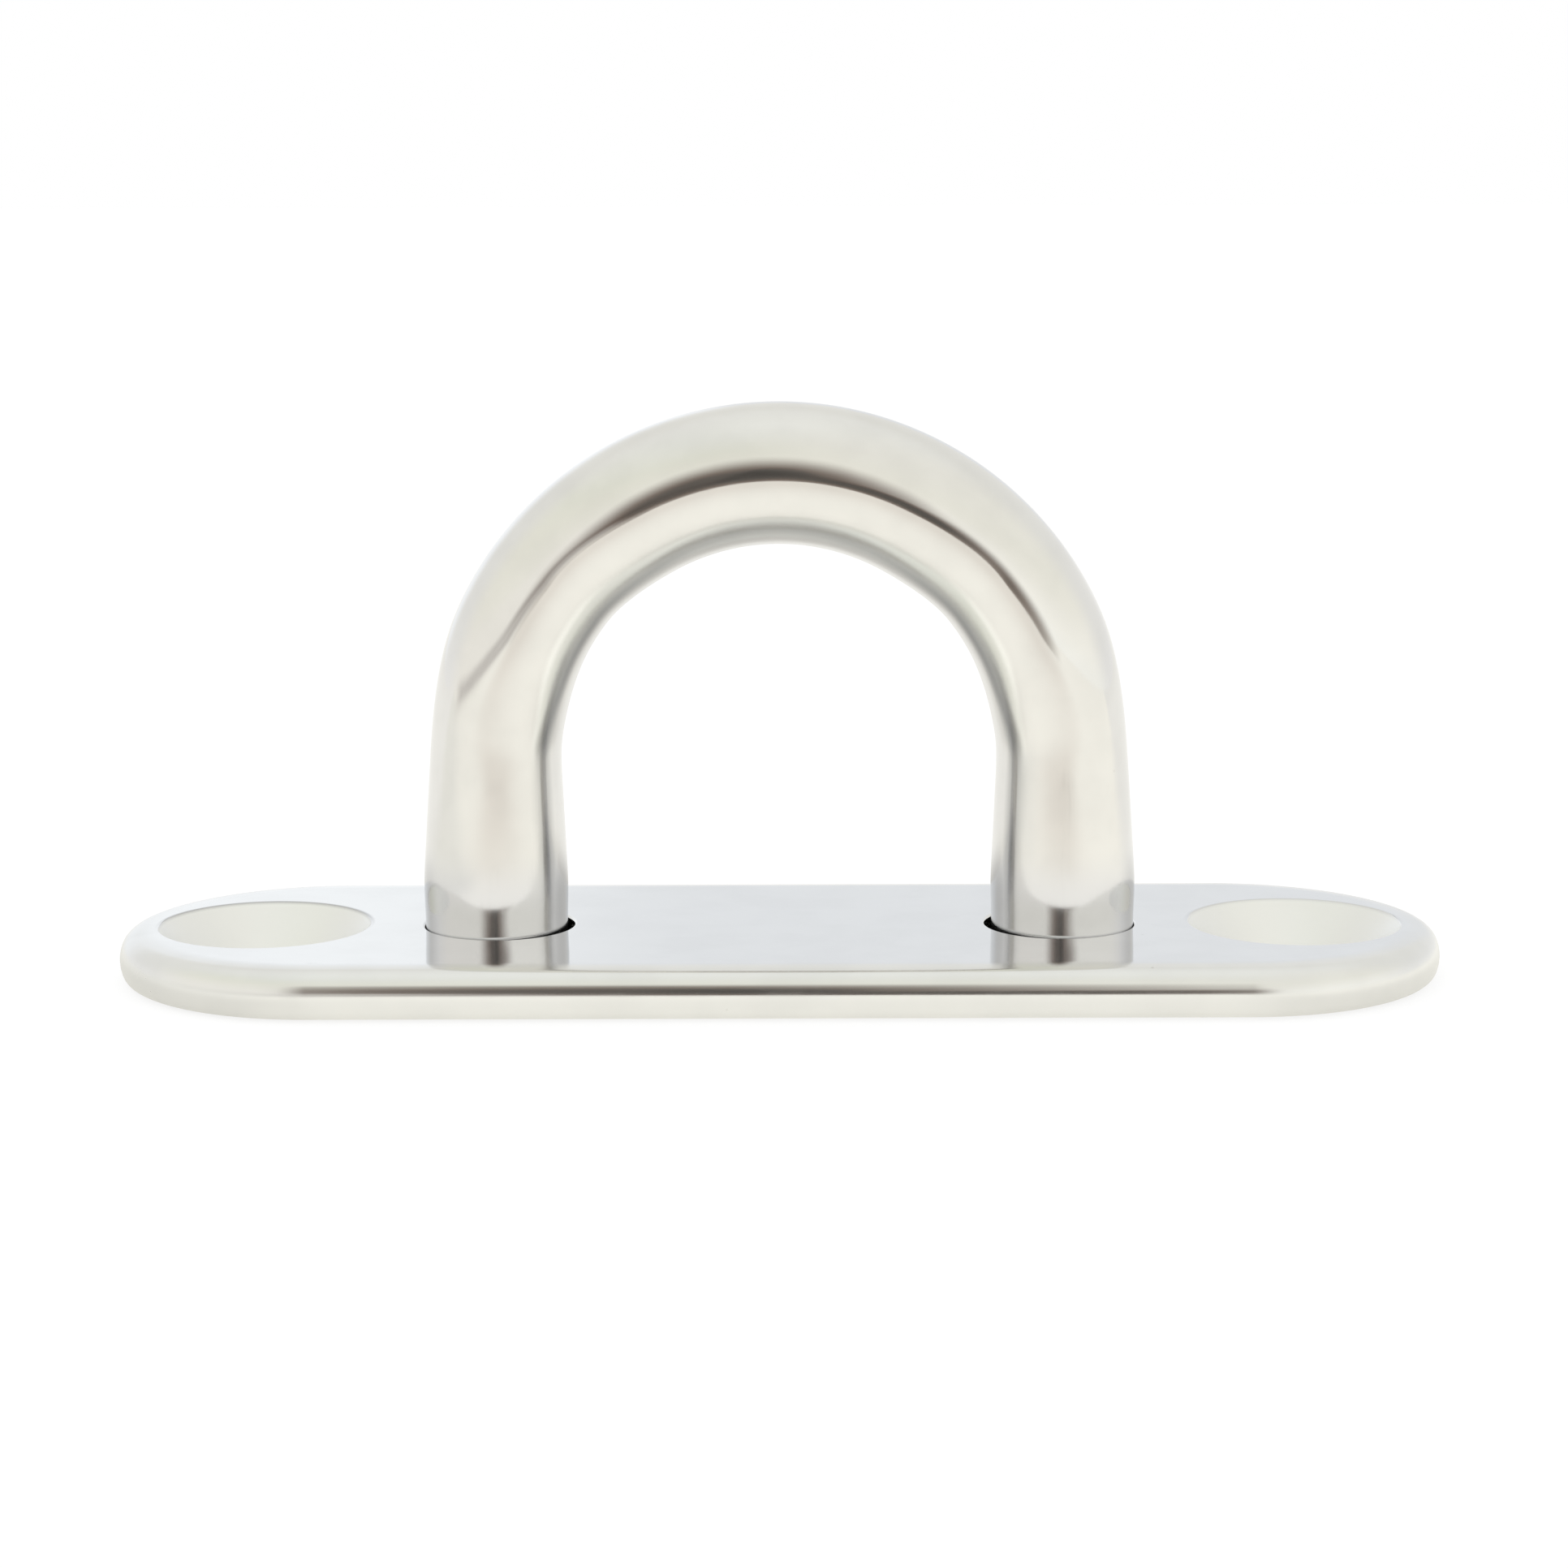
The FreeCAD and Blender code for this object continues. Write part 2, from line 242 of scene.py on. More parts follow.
class Bench:
    """Adds nodes to one tree. Settings are made first, then the values and links of the inputs."""

    def __init__(self, tree):
        self.tree = tree

    def add(self, kind, settings=None, inputs=None, out=0):
        node = self.tree.nodes.new(kind)
        for name, value in (settings or {}).items():
            if name == "stops":
                self.set_stops(node.color_ramp, value)
            else:
                setattr(node, name, value)
        pairs = inputs.items() if isinstance(inputs, dict) else enumerate(inputs or [])
        for key, value in pairs:
            self.feed(node.inputs[key], value)
        return Wire(self, node.outputs[out]) if node.outputs else node

    def feed(self, socket, value):
        if isinstance(value, Wire):
            self.tree.links.new(value.socket, socket)
        elif value is not None:
            socket.default_value = value

    def set_stops(self, ramp, stops):
        """Places a ramp's stops: (place, colour) pairs in rising order."""
        while len(ramp.elements) < len(stops):
            ramp.elements.new(1.0)
        for element, (place, colour) in zip(ramp.elements, stops):
            element.position = place
            element.color = (*colour, 1.0)

    def blend(self, factor, low, high):
        """Mixes two colours by a factor."""
        settings = {"data_type": "RGBA", "clamp_factor": True}
        low, high = (v if isinstance(v, Wire) else (*v, 1.0) for v in (low, high))
        return self.add("ShaderNodeMix", settings, {0: factor, 6: low, 7: high}, out=2)

    def mix(self, factor, low, high):
        """Mixes two numbers by a factor."""
        return self.add("ShaderNodeMix", {"data_type": "FLOAT"}, {0: factor, 2: low, 3: high})

    def tinted(self, colour, strength):
        """A colour times a plain strength from a wire."""
        return self.add("ShaderNodeVectorMath", {"operation": "SCALE"}, {0: colour, "Scale": strength})

    def ease(self, value, low, high, low_result=0.0, high_result=1.0):
        """Goes smoothly from one result to the other while the value goes from low to high."""
        inputs = {0: value, 1: low, 2: high, 3: low_result, 4: high_result}
        return self.add("ShaderNodeMapRange", {"interpolation_type": "SMOOTHSTEP"}, inputs)

    def ramp(self, value, low, high, low_result=0.0, high_result=1.0):
        """As ease, in a straight line."""
        inputs = {0: value, 1: low, 2: high, 3: low_result, 4: high_result}
        return self.add("ShaderNodeMapRange", {"interpolation_type": "LINEAR"}, inputs)

    def soft_ramp(self, value, low, high, soft):
        """From 0 to 1 in a straight line whose two bends are rounded over a length."""
        before, after = (self.ramp_area(value + way * soft / 2, low, high) for way in (-1, 1))
        return (after - before) / soft

    def ramp_area(self, value, low, high):
        """The area under a ramp up to a value."""
        within = (value - low).maths("MAXIMUM", 0.0).maths("MINIMUM", high - low)
        return within * within / ((high - low) * 2.0) + (value - high).maths("MAXIMUM", 0.0)

    def hill(self, value, middle, half):
        """1 where the value is at the middle, easing to 0 at half a width on either side."""
        return self.ease(abs(value - middle), 0.0, half, 1.0, 0.0)

    def parts(self, vector):
        """The three parts of a vector."""
        node = self.tree.nodes.new("ShaderNodeSeparateXYZ")
        self.feed(node.inputs[0], vector)
        return [Wire(self, socket) for socket in node.outputs]

    def stretched(self, vector, scale):
        """The vector with each part scaled on its own."""
        return self.add("ShaderNodeVectorMath", {"operation": "MULTIPLY"}, {0: vector, 1: scale})

    def cloud(self, vector, scale, detail=2.0, roughness=0.5):
        """Soft noise about 0.5."""
        inputs = {"Vector": vector, "Scale": scale, "Detail": detail, "Roughness": roughness}
        return self.add("ShaderNodeTexNoise", {}, inputs)


def new_material(name):
    """An empty material, its bench and its surface output."""
    material = bpy.data.materials.new(name)
    material.use_nodes = True
    material.node_tree.nodes.clear()
    bench = Bench(material.node_tree)
    return material, bench, bench.tree.nodes.new("ShaderNodeOutputMaterial")


def finish_steel(bench, output, colour, roughness, height):
    """The steel shader: plain metal whose colour, roughness and relief come from wires."""
    relief = bench.add("ShaderNodeBump", {}, {"Strength": 1.0, "Distance": 1.0, "Height": height})
    inputs = {"Base Color": colour, "Metallic": 1.0, "Roughness": roughness, "Normal": relief}
    steel = bench.add("ShaderNodeBsdfPrincipled", {}, inputs)
    bench.feed(output.inputs["Surface"], steel)


def place_in_mm(bench):
    """The place on the object, in millimetres."""
    return bench.stretched(bench.add("ShaderNodeTexCoord", out="Object"), IN_MM)


def ground_lines(bench, place):
    """Fine lines along X, as a grinding belt leaves them."""
    return bench.cloud(bench.stretched(place, (0.12, 9.0, 9.0)), 1.0, 4.0, 0.7)


def turned_rings(bench, across, y, fine, slow, detail):
    """The distance from an upright axis, and rings of fine lines about it."""
    distance = (across * across + y * y).maths("SQRT")
    rings = bench.add("ShaderNodeCombineXYZ", {}, [distance * fine, across * slow, y * slow])
    return distance, bench.cloud(rings, 1.0, detail)


def darker(colour, share_left):
    """A colour made darker by a share."""
    return [part * share_left for part in colour]


def polish_flecks(bench, place):
    """Tiny pits that the wheel leaves: 1 in the middle of a fleck, on few cells only."""
    cells = {"Vector": place, "Scale": 0.5, "Randomness": 1.0}
    near = bench.add("ShaderNodeTexVoronoi", {"feature": "F1"}, cells, out="Distance")
    kind = bench.add("ShaderNodeTexVoronoi", {"feature": "F1"}, cells, out="Color")
    chosen = bench.parts(kind)[0].maths("GREATER_THAN", 0.75)
    return bench.ease(near, 0.01, 0.05, 1.0, 0.0) * chosen


def plate_steel(finish, sizes):
    """Mirror polish above, rounded rim included, turned countersinks and plain linear grinding beneath."""
    material, bench, output = new_material("polished_plate_steel")
    place = place_in_mm(bench)
    x, y, z = bench.parts(place)
    beneath = bench.ease(z, 0.04, 0.14, 1.0, 0.0)
    across = abs(x) - (sizes.long_side / 2 - sizes.screw_inset) / MM
    round_screw, rings = turned_rings(bench, across, y, 9.0, 0.4, 2.0)
    rim = sizes.sink_rim / MM / 2
    turned = bench.ease(round_screw, rim - 0.08, rim, 1.0, 0.0) * (1.0 - beneath)

    ripple = bench.cloud(bench.stretched(place, (0.5, 1.0, 1.0)), 0.16, 1.0)
    lines = bench.cloud(bench.stretched(place, (0.35, 4.5, 4.5)), 1.3, 3.0, 0.6)
    ground = ground_lines(bench, place)
    flecks = polish_flecks(bench, place)
    wear = bench.cloud(place, 0.35, 3.0)
    reach = (sizes.long_side - sizes.short_side) / 2 / MM
    beyond = (abs(x) - reach).maths("MAXIMUM", 0.0)
    half = sizes.short_side / 2 / MM
    edge = bench.ease((beyond * beyond + y * y).maths("SQRT"), half - 2.0, half - 0.9)

    colour = bench.blend(bench.ease(wear, 0.35, 0.7), finish.plate_colour, darker(finish.plate_colour, 0.965))
    colour = bench.blend(beneath * bench.ease(ground, 0.3, 0.7, 0.25, 0.75), colour, finish.weld_colour)
    colour = bench.blend(turned * (0.85 + rings * 0.3), colour, finish.turned_colour)
    # A darker colour along the far half of each countersink's rim, more at the left end, none beneath.
    far_rim_dark = bench.hill(round_screw, rim + 0.02, 0.16) * bench.ease(y, -1.5, 2.5)
    far_rim_dark = far_rim_dark * bench.ease(x, -10.0, 10.0, 0.6, 0.2) * (1.0 - beneath)
    colour = bench.blend(far_rim_dark, colour, finish.far_rim_dark_colour)
    colour = bench.blend(flecks * 0.3, colour, finish.plate_fleck)
    ends = bench.ease(abs(x), reach - 3.0, reach + 4.0)
    polished = finish.polish + turned * (0.28 + rings * 0.1) + edge * (0.05 + ends * 0.11)
    polished = polished + bench.ease(lines, 0.45, 0.75) * 0.03 + bench.ease(wear, 0.5, 0.75) * 0.03
    roughness = bench.mix(beneath, polished, finish.ground)
    height = ripple * finish.ripple + lines * finish.scratch - flecks * FLECK_DEPTH
    height = height + ground * beneath * GRIND_DEPTH + rings * turned * (0.002 * MM)
    finish_steel(bench, output, colour, roughness, height)
    return material


def bar_steel(finish, sizes):
    """Polished bar with lines along it, duller at feet and inner flanks; painted shade at the feet, painted
    dark streak and highlight.
    """
    material, bench, output = new_material("polished_bar_steel")
    place = place_in_mm(bench)
    straight = bench.add("ShaderNodeAttribute", {"attribute_name": "straight_bar"}, out="Vector")
    straight = bench.stretched(straight, IN_MM)

    x, y, z = bench.parts(place)
    low = bench.ease(z, 3.8, 6.2, 1.0, 0.0)
    over = (z - sizes.spring / MM).maths("MAXIMUM", 0.0)
    inward = sizes.leg_x / MM - (x * x + over * over).maths("SQRT")
    # Painted dark reflection: where the streak on each inner flank lies and how dark it is.
    streak_place = bench.ease(z, 7.0, 10.0, 1.92, 1.88) - bench.ease(z, 10.0, 13.5) * 0.24
    streak_place = streak_place + bench.ease(z, 15.0, 24.0) * 0.8
    inner = bench.ease(inward, 0.6, 1.5)
    painted_streak = bench.hill(abs(y), streak_place, bench.ease(z, 7.0, 13.0, 0.62, 0.48)) * inner
    painted_streak = painted_streak * (0.72 + bench.ease(z, 8.0, 11.0) * 0.2 - bench.ease(z, 15.5, 20.0) * 0.45 - low * 0.2)
    beyond = abs(y) - streak_place
    # Painted highlight: a lighter band just beyond the streak on each inner flank.
    limit = bench.ease(z, 11.0, 15.0, 2.2, 2.46)
    painted_highlight = bench.ease(beyond, 0.22, 0.45) * bench.ease(abs(y) - limit, 0.0, 0.2, 1.0, 0.0)
    painted_highlight = painted_highlight * inner * bench.ease(z, 9.0, 11.5)
    flank = bench.ease(inward, 0.4, 1.6) * bench.ease(abs(y), 2.5, 2.9, 1.0, 0.0)
    # Painted shade on the two sides of each foot.
    beside = bench.ease(abs(abs(x) - (sizes.leg_x + sizes.foot_lean) / MM), 2.3, 3.1) * low
    cut = bench.ease(z, 0.02, 0.1, 1.0, 0.0)
    ground = ground_lines(bench, place)

    ripple = bench.cloud(bench.stretched(straight, (0.55, 0.8, 0.8)), 0.2, 1.0)
    lines = bench.cloud(bench.stretched(straight, (0.4, 5.0, 5.0)), 1.2, 3.0, 0.6)
    wear = bench.cloud(place, 0.4, 3.0)
    flecks = polish_flecks(bench, straight)

    colour = bench.blend(bench.ease(wear, 0.35, 0.7), finish.bar_colour, darker(finish.bar_colour, 0.955))
    # Painted shade darkens the feet; their extra roughness and ripple below are a duller finish.
    colour = bench.blend(low * 0.8, colour, finish.foot_shade_colour)
    colour = bench.blend(painted_highlight, colour, finish.painted_highlight_colour)
    # Painted dark reflection in the streak, and painted shade on the feet's sides.
    colour = bench.blend(painted_streak.maths("MAXIMUM", beside * 0.7), colour, finish.painted_streak_colour)
    colour = bench.blend(flecks * 0.3, colour, finish.bar_fleck)
    end_colour = bench.blend(bench.ease(ground, 0.3, 0.7), finish.weld_colour, finish.bar_colour)
    colour = bench.blend(cut, colour, end_colour)
    polished = finish.polish + bench.ease(lines, 0.45, 0.75) * 0.03 + low * 0.05
    polished = polished + flank * bench.ease(z, 9.0, 12.0, 0.06, 0.16)
    roughness = bench.mix(cut, polished, finish.ground)
    height = ripple * finish.ripple * (1.0 + low * 2.5) + lines * finish.scratch - flecks * FLECK_DEPTH
    height = height + ground * cut * GRIND_DEPTH
    finish_steel(bench, output, colour, roughness, height)
    return material


def weld_steel(finish, sizes):
    """Weld metal ground flush: rings of fine scratches and a few open pores."""
    material, bench, output = new_material("ground_weld_steel")
    place = place_in_mm(bench)
    x, y, _ = bench.parts(place)
    _, rings = turned_rings(bench, abs(x) - sizes.leg_x / MM, y, 14.0, 0.5, 3.0)
    cells = {"Vector": place, "Scale": 1.6}
    pores = bench.add("ShaderNodeTexVoronoi", {"feature": "F1"}, cells, out="Distance")
    pores = bench.ease(pores, 0.08, 0.2, 1.0, 0.0)
    colour = bench.blend(bench.ease(rings, 0.3, 0.7), finish.weld_colour, darker(finish.weld_colour, 0.86))
    colour = bench.blend(pores * 0.7, colour, finish.pore_colour)
    roughness = finish.ground + rings * 0.12
    height = rings * (0.008 * MM) - pores * (0.03 * MM)
    finish_steel(bench, output, colour, roughness, height)
    return material


# Meshes


def rounded_profile(corners, radii, steps):
    """Rounds the inner corners of a line that turns clockwise round the metal.

    Gives rows of (across, up, normal across, normal up); the normals point to the line's left.
    """
    rows = []
    for before, corner, after, radius in zip(corners, corners[1:], corners[2:], radii):
        ahead_in = (Vector(corner) - Vector(before)).normalized()
        ahead_out = (Vector(after) - Vector(corner)).normalized()
        normal = Vector((-ahead_in.y, ahead_in.x))
        turn = ahead_in.angle(ahead_out)
        centre = Vector(corner) - ahead_in * radius * math.tan(turn / 2) - normal * radius
        for step in range(steps + 1):
            facing = Matrix.Rotation(-turn * step / steps, 2) @ normal
            point = centre + facing * radius
            rows.append((point.x, point.y, facing.x, facing.y))
    return rows


class Draft:
    """A mesh in the making: points with their exact normals, and faces."""

    def __init__(self):
        self.points = []
        self.normals = []
        self.faces = []

    def ring(self, rows):
        """Adds points with normals; gives their numbers."""
        start = len(self.points)
        for point, normal in rows:
            self.points.append(Vector(point))
            self.normals.append(Vector(normal).normalized())
        return list(range(start, len(self.points)))

    def face(self, numbers):
        """Adds a face and turns it to the side that its points' normals give."""
        a, b, c = (self.points[n] for n in numbers[:3])
        facing = (b - a).cross(c - a).dot(sum((self.normals[n] for n in numbers), Vector()))
        self.faces.append(tuple(numbers) if facing > 0 else tuple(reversed(numbers)))

    def skin(self, rings):
        """Joins closed rings of equal count, one after the other, with four-sided faces."""
        for low, high in zip(rings, rings[1:]):
            for index in range(len(low)):
                following = (index + 1) % len(low)
                self.face([low[index], low[following], high[following], high[index]])

    def flat(self, loops):
        """Fills a level outline less the holes in it."""
        numbers = [n for loop in loops for n in loop]
        lines = [[self.points[n] for n in loop] for loop in loops]
        for triangle in tessellate_polygon(lines):
            self.face([numbers[i] for i in triangle])

    def mesh_object(self, name, material):
        """The finished mesh as a smooth object with its exact normals."""
        mesh = bpy.data.meshes.new(name)
        mesh.from_pydata(self.points, [], self.faces)
        mesh.materials.append(material)
        mesh.shade_smooth()
        mesh.normals_split_custom_set_from_vertices(self.normals)
        obj = bpy.data.objects.new(name, mesh)
        bpy.context.scene.collection.objects.link(obj)
        return obj


def slot_ring(reach, radius, z, normal_across, normal_up, round_steps=72, straight_steps=30):
    """Points with normals round an oblong outline: half circles about two ends, and straight sides."""
    rows = []
    for lean in (1, -1):
        for step in range(round_steps):
            angle = math.radians(-90 if lean > 0 else 90) + math.pi * step / round_steps
            across = Vector((math.cos(angle), math.sin(angle), 0))
            point = Vector((lean * reach, 0, z)) + across * radius
            rows.append((point, across * normal_across + Vector((0, 0, normal_up))))
        for step in range(straight_steps):
            x = lean * reach * (1 - 2 * step / straight_steps)
            across = Vector((0, lean, 0))
            point = Vector((x, lean * radius, z))
            rows.append((point, across * normal_across + Vector((0, 0, normal_up))))
    return rows


def round_ring(centre_x, radius, z, normal_across, normal_up, steps=96):
    """Points with normals round a circle; the normal's part across points away from the middle."""
    rows = []
    for step in range(steps):
        angle = math.tau * step / steps
        across = Vector((math.cos(angle), math.sin(angle), 0))
        point = Vector((centre_x, 0, z)) + across * radius
        rows.append((point, across * normal_across + Vector((0, 0, normal_up))))
    return rows


def edge_rows(half, top, sizes, steps=8):
    """Rows of the plate's edge, from the flat top to the underside: easing, shoulder, middle and back."""
    ease, middle = sizes.edge_ease, sizes.edge_middle
    ease_turn, middle_turn = math.radians(8), math.radians(20)
    arcs = []
    for height in (top - sizes.edge_line, sizes.edge_line):
        rise = height - ease * (1 - math.cos(ease_turn)) - middle * math.sin(middle_turn)
        shoulder = rise / (math.cos(ease_turn) - math.sin(middle_turn))
        shoulder_turn = math.pi / 2 - ease_turn - middle_turn
        arcs.append([(ease_turn, ease), (shoulder_turn, shoulder), (middle_turn, middle)])
    rows = [(0.0, top, 0.0, 1.0)]
    for turn, radius in arcs[0] + arcs[1][::-1]:
        across, up, side, flat = rows[-1]
        start = math.atan2(side, flat)
        for step in range(1, steps + 1):
            now = start + turn * step / steps
            point = (across + radius * (math.sin(now) - side), up - radius * (flat - math.cos(now)))
            rows.append((*point, math.sin(now), math.cos(now)))
    reach = max(row[0] for row in rows)
    return [(half - reach + across, *rest) for across, *rest in rows]


def draw_plate(sizes, material):
    """The plate: a rounded rim, four hole walls with polished mouths, and two flat faces."""
    draft = Draft()
    top = sizes.thickness
    reach = (sizes.long_side - sizes.short_side) / 2
    half = sizes.short_side / 2
    rings = [draft.ring(slot_ring(reach, *row)) for row in edge_rows(half, top, sizes)]
    draft.skin(rings)
    tops, bottoms = [rings[0]], [rings[-1]]

    sink, hole = sizes.sink_rim / 2, sizes.screw_hole / 2
    sunk = top - (sink - hole)
    screw_line = [(sink, 0), (hole, 0), (hole, sunk), (sink, top), (sink + top, top)]
    leg, bevel = sizes.leg_hole / 2, sizes.weld_bevel
    leg_line = [(leg + 2 * bevel, 0), (leg + bevel, 0), (leg, bevel), (leg, top), (leg + top, top)]
    fine = 0.05 * MM
    holes = []
    for side in SIDES:
        holes.append((side * (sizes.long_side / 2 - sizes.screw_inset), 0.0, 0.0, screw_line))
        holes.append((side * sizes.leg_hole_x, side * sizes.leg_hole_lean, sizes.leg_hole_draw, leg_line))
    for centre_x, lean, draw, line in holes:
        walls = []
        for radius, z, *normal in rounded_profile(line, [fine, fine, sizes.mouth_radius], 6):
            risen = min(1.0, max(0.0, (z - bevel) / (top - 2 * bevel)))
            walls.append(draft.ring(round_ring(centre_x + lean * risen, radius - draw * risen, z, *normal)))
        draft.skin(walls)
        bottoms.append(walls[0])
        tops.append(walls[-1])
    draft.flat(tops)
    draft.flat(bottoms)
    return draft.mesh_object("plate", material)


def bar_tree(material):
    """Geometry Nodes tree: a round bar swept up one leg, round half a circle and down the other leg."""
    tree = bpy.data.node_groups.new("bent_bar", "GeometryNodeTree")
    tree.interface.new_socket("Geometry", in_out="OUTPUT", socket_type="NodeSocketGeometry")
    names = ("Bar Radius", "Leg Place", "Spring Height", "Plate Top", "Foot Swell", "Foot Top", "Flare Top")
    for name in (*names, "Foot Lean", "Foot Tuck", "Foot Flush", "Waist", "Waist Lean", "Crown"):
        tree.interface.new_socket(name, in_out="INPUT", socket_type="NodeSocketFloat")
    for name in ("Steps Along", "Steps Round"):
        tree.interface.new_socket(name, in_out="INPUT", socket_type="NodeSocketInt")
    bench = Bench(tree)
    given = tree.nodes.new("NodeGroupInput")
    sockets = [Wire(bench, socket) for socket in given.outputs[:15]]
    radius, leg, spring, top, swell, foot, flare, stand, *sockets = sockets
    tuck, flush, waist, lean, crown, along, around = sockets

    total = 2 * spring + math.pi * leg
    run = bench.add("GeometryNodeSplineParameter", out="Factor") * total
    bend = ((run - spring) / leg).maths("MAXIMUM", 0.0).maths("MINIMUM", math.pi)
    rise = run.maths("MINIMUM", total - run).maths("MINIMUM", spring)
    level = rise + leg * bend.maths("SINE")
    worn = bench.soft_ramp(level, foot, flare, 2.0 * MM)
    risen = bench.ease(level, top - 1.3 * MM, top - 0.3 * MM)
    out = risen * (1.0 - worn)
    tucked = bench.ease(level, top, top + 2.0 * MM, 1.0, 0.0) * (flush + (tuck - flush) * risen)
    taken = worn * bench.ease(level, spring + leg * 0.03, spring + leg * 0.42, 1.0, 0.0)
    aside = bench.hill(level, spring + leg * 0.18, leg * 0.27)
    thick = bench.ease(level, spring + leg * 0.62, spring + leg * 0.88)
    reach = leg + stand * out - lean * aside - crown * thick
    x = reach * bend.maths("COSINE") * -1.0
    z = rise + reach * bend.maths("SINE")
    path = bench.add("ShaderNodeCombineXYZ", {}, {"X": x, "Z": z})
    width = radius + swell * (1.0 - worn) - tucked - waist * taken + crown * thick

    rail = bench.add("GeometryNodeCurvePrimitiveLine")
    rail = bench.add("GeometryNodeResampleCurve", {"mode": "COUNT"}, {"Curve": rail, "Count": along})
    rail, run_kept = kept_value(bench, rail, run)
    rail, width_kept = kept_value(bench, rail, width)
    rail = bench.add("GeometryNodeSetPosition", {}, {"Geometry": rail, "Position": path})

    section = bench.add("GeometryNodeCurvePrimitiveCircle", {}, {"Resolution": around, "Radius": 1.0})
    turn = bench.add("GeometryNodeSplineParameter", out="Factor") * math.tau
    section, turn_kept = kept_value(bench, section, turn)
    inputs = {"Curve": rail, "Profile Curve": section, "Scale": width_kept, "Fill Caps": True}
    bar = bench.add("GeometryNodeCurveToMesh", {}, inputs)

    flat_y, flat_z = width_kept * turn_kept.maths("COSINE"), width_kept * turn_kept.maths("SINE")
    straight = bench.add("ShaderNodeCombineXYZ", {}, [run_kept, flat_y, flat_z])
    settings = {"data_type": "FLOAT_VECTOR", "domain": "POINT"}
    inputs = {"Geometry": bar, "Name": "straight_bar", "Value": straight}
    bar = bench.add("GeometryNodeStoreNamedAttribute", settings, inputs)
    bar = bench.add("GeometryNodeRealizeInstances", {}, {"Geometry": bar})
    bar = bench.add("GeometryNodeSetMaterial", {}, {"Geometry": bar, "Material": material})
    bench.add("NodeGroupOutput", {}, {"Geometry": bar})
    return tree


def kept_value(bench, geometry, value):
    """Keeps a value on a geometry's points, so that it is still known after the sweep."""
    node = bench.tree.nodes.new("GeometryNodeCaptureAttribute")
    node.capture_items.new("FLOAT", "Kept")
    bench.feed(node.inputs[0], geometry)
    bench.feed(node.inputs[1], value)
    return Wire(bench, node.outputs[0]), Wire(bench, node.outputs[1])


def draw_bow(sizes, material):
    """The bow, swept by its tree and turned into a plain mesh."""
    tree = bar_tree(material)
    values = {
        "Bar Radius": sizes.bar / 2,
        "Leg Place": sizes.leg_x,
        "Spring Height": sizes.spring,
        "Plate Top": PLATE_HIGH.z,
        "Foot Swell": sizes.foot_swell,
        "Foot Top": sizes.foot_top,
        "Flare Top": sizes.flare_top,
        "Foot Lean": sizes.foot_lean,
        "Foot Tuck": sizes.foot_tuck,
        "Foot Flush": sizes.foot_flush,
        "Waist": sizes.waist,
        "Waist Lean": sizes.waist_lean,
        "Crown": sizes.crown,
        "Steps Along": sizes.steps_along,
        "Steps Round": sizes.steps_round,
    }
    carrier = bpy.data.objects.new("bar_carrier", bpy.data.meshes.new("bar_carrier"))
    bpy.context.scene.collection.objects.link(carrier)
    modifier = carrier.modifiers.new("Bent bar", "NODES")
    modifier.node_group = tree
    for item in tree.interface.items_tree:
        if item.in_out == "INPUT":
            modifier[item.identifier] = values[item.name]
    return plain_copy(carrier, "bent_bar_bow")


def plain_copy(carrier, name):
    """The evaluated carrier as an ordinary mesh object; the carrier is removed."""
    bpy.context.view_layer.update()
    graph = bpy.context.evaluated_depsgraph_get()
    mesh = bpy.data.meshes.new_from_object(carrier.evaluated_get(graph), depsgraph=graph)
    mesh.name = name
    mesh.shade_smooth()
    mesh.set_sharp_from_angle(angle=math.radians(40))
    bpy.data.objects.remove(carrier)
    obj = bpy.data.objects.new(name, mesh)
    bpy.context.scene.collection.objects.link(obj)
    return obj


# Studio


def aim_camera(studio):
    """Places the camera by its aim, distance and angles."""
    out = Vector((
        math.sin(studio.turn) * math.cos(studio.elevation),
        -math.cos(studio.turn) * math.cos(studio.elevation),
        math.sin(studio.elevation),
    ))
    data = bpy.data.cameras.new("camera")
    data.sensor_width = 36.0
    data.lens = studio.lens
    data.clip_start, data.clip_end = 0.005, 20.0
    camera = bpy.data.objects.new("camera", data)
    turned = (-out).to_track_quat("-Z", "Y").to_matrix() @ Matrix.Rotation(studio.roll, 3, "Z")
    camera.matrix_world = Matrix.Translation(Vector(studio.aim) + out * studio.distance) @ turned.to_4x4()
    bpy.context.scene.collection.objects.link(camera)
    bpy.context.scene.camera = camera


